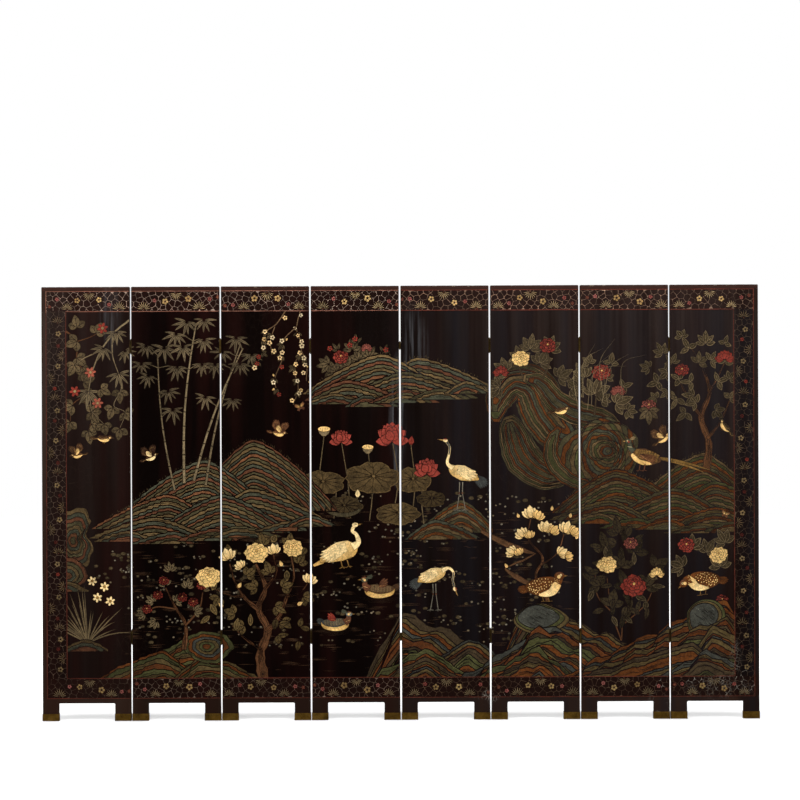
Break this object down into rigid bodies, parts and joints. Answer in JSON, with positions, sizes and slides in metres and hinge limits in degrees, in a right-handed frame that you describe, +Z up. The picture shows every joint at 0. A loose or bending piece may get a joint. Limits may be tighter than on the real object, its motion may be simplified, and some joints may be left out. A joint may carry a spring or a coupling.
{
  "type": "folding screen",
  "caption": "Free-standing folding screen of hinged lacquered leaves with incised coloured decoration, leg cut-outs and brass shoes.",
  "frame": {"origin": "on the floor, under the middle of the opened-out screen and the middle of the leaves' thickness", "axes": "+X along the screen to the right seen from the decorated side, -Y towards the viewer of the decorated side, +Z up"},
  "size_m": [3.024, 0.036, 1.83],
  "materials": {
    "core_wood": "planed softwood, hidden under the lacquer",
    "lacquer": "polished dark brown-black lacquer over a clay ground on wood, incised and coloured on the front",
    "shoe_brass": "aged olive-gold sheet brass",
    "hinge_brass": "dull, darkened brass",
    "screw_brass": "dull brass, slots and heads worn brighter"
  },
  "bodies": {
    "panel_1": {"panel_1_stiles": "core_wood", "panel_1_core": "core_wood", "panel_1_lacquer": "lacquer", "panel_1_shoes": "shoe_brass", "panel_1_hinge_leaves": "hinge_brass", "panel_1_fixings": "screw_brass", "hinge_pins_1_2": "hinge_brass"},
    "panel_2": {"panel_2_stiles": "core_wood", "panel_2_core": "core_wood", "panel_2_lacquer": "lacquer", "panel_2_shoes": "shoe_brass", "panel_2_hinge_leaves": "hinge_brass", "panel_2_fixings": "screw_brass", "hinge_pins_2_3": "hinge_brass"},
    "panel_3": {"panel_3_stiles": "core_wood", "panel_3_core": "core_wood", "panel_3_lacquer": "lacquer", "panel_3_shoes": "shoe_brass", "panel_3_hinge_leaves": "hinge_brass", "panel_3_fixings": "screw_brass", "hinge_pins_3_4": "hinge_brass"},
    "panel_4": {"panel_4_stiles": "core_wood", "panel_4_core": "core_wood", "panel_4_lacquer": "lacquer", "panel_4_shoes": "shoe_brass", "panel_4_hinge_leaves": "hinge_brass", "panel_4_fixings": "screw_brass", "hinge_pins_4_5": "hinge_brass"},
    "panel_5": {"panel_5_stiles": "core_wood", "panel_5_core": "core_wood", "panel_5_lacquer": "lacquer", "panel_5_shoes": "shoe_brass", "panel_5_hinge_leaves": "hinge_brass", "panel_5_fixings": "screw_brass", "hinge_pins_5_6": "hinge_brass"},
    "panel_6": {"panel_6_stiles": "core_wood", "panel_6_core": "core_wood", "panel_6_lacquer": "lacquer", "panel_6_shoes": "shoe_brass", "panel_6_hinge_leaves": "hinge_brass", "panel_6_fixings": "screw_brass", "hinge_pins_6_7": "hinge_brass"},
    "panel_7": {"panel_7_stiles": "core_wood", "panel_7_core": "core_wood", "panel_7_lacquer": "lacquer", "panel_7_shoes": "shoe_brass", "panel_7_hinge_leaves": "hinge_brass", "panel_7_fixings": "screw_brass", "hinge_pins_7_8": "hinge_brass"},
    "panel_8": {"panel_8_stiles": "core_wood", "panel_8_core": "core_wood", "panel_8_lacquer": "lacquer", "panel_8_shoes": "shoe_brass", "panel_8_hinge_leaves": "hinge_brass", "panel_8_fixings": "screw_brass"}
  },
  "joints": [
    {"name": "fold_3_4", "type": "hinge", "parent": "panel_4", "child": "panel_3", "pos_m": [-0.3785, 0.0145, 0.9645], "axis": [0, 0, -1], "range_deg": [0, 178]},
    {"name": "fold_2_3", "type": "hinge", "parent": "panel_3", "child": "panel_2", "pos_m": [-0.757, -0.0145, 0.9645], "axis": [0, 0, 1], "range_deg": [0, 178]},
    {"name": "fold_1_2", "type": "hinge", "parent": "panel_2", "child": "panel_1", "pos_m": [-1.1355, 0.0145, 0.9645], "axis": [0, 0, -1], "range_deg": [0, 178]},
    {"name": "fold_4_5", "type": "hinge", "parent": "panel_4", "child": "panel_5", "pos_m": [0, -0.0145, 0.9645], "axis": [0, 0, -1], "range_deg": [0, 178]},
    {"name": "fold_5_6", "type": "hinge", "parent": "panel_5", "child": "panel_6", "pos_m": [0.3785, 0.0145, 0.9645], "axis": [0, 0, 1], "range_deg": [0, 178]},
    {"name": "fold_6_7", "type": "hinge", "parent": "panel_6", "child": "panel_7", "pos_m": [0.757, -0.0145, 0.9645], "axis": [0, 0, -1], "range_deg": [0, 178]},
    {"name": "fold_7_8", "type": "hinge", "parent": "panel_7", "child": "panel_8", "pos_m": [1.1355, 0.0145, 0.9645], "axis": [0, 0, 1], "range_deg": [0, 178]}
  ]
}
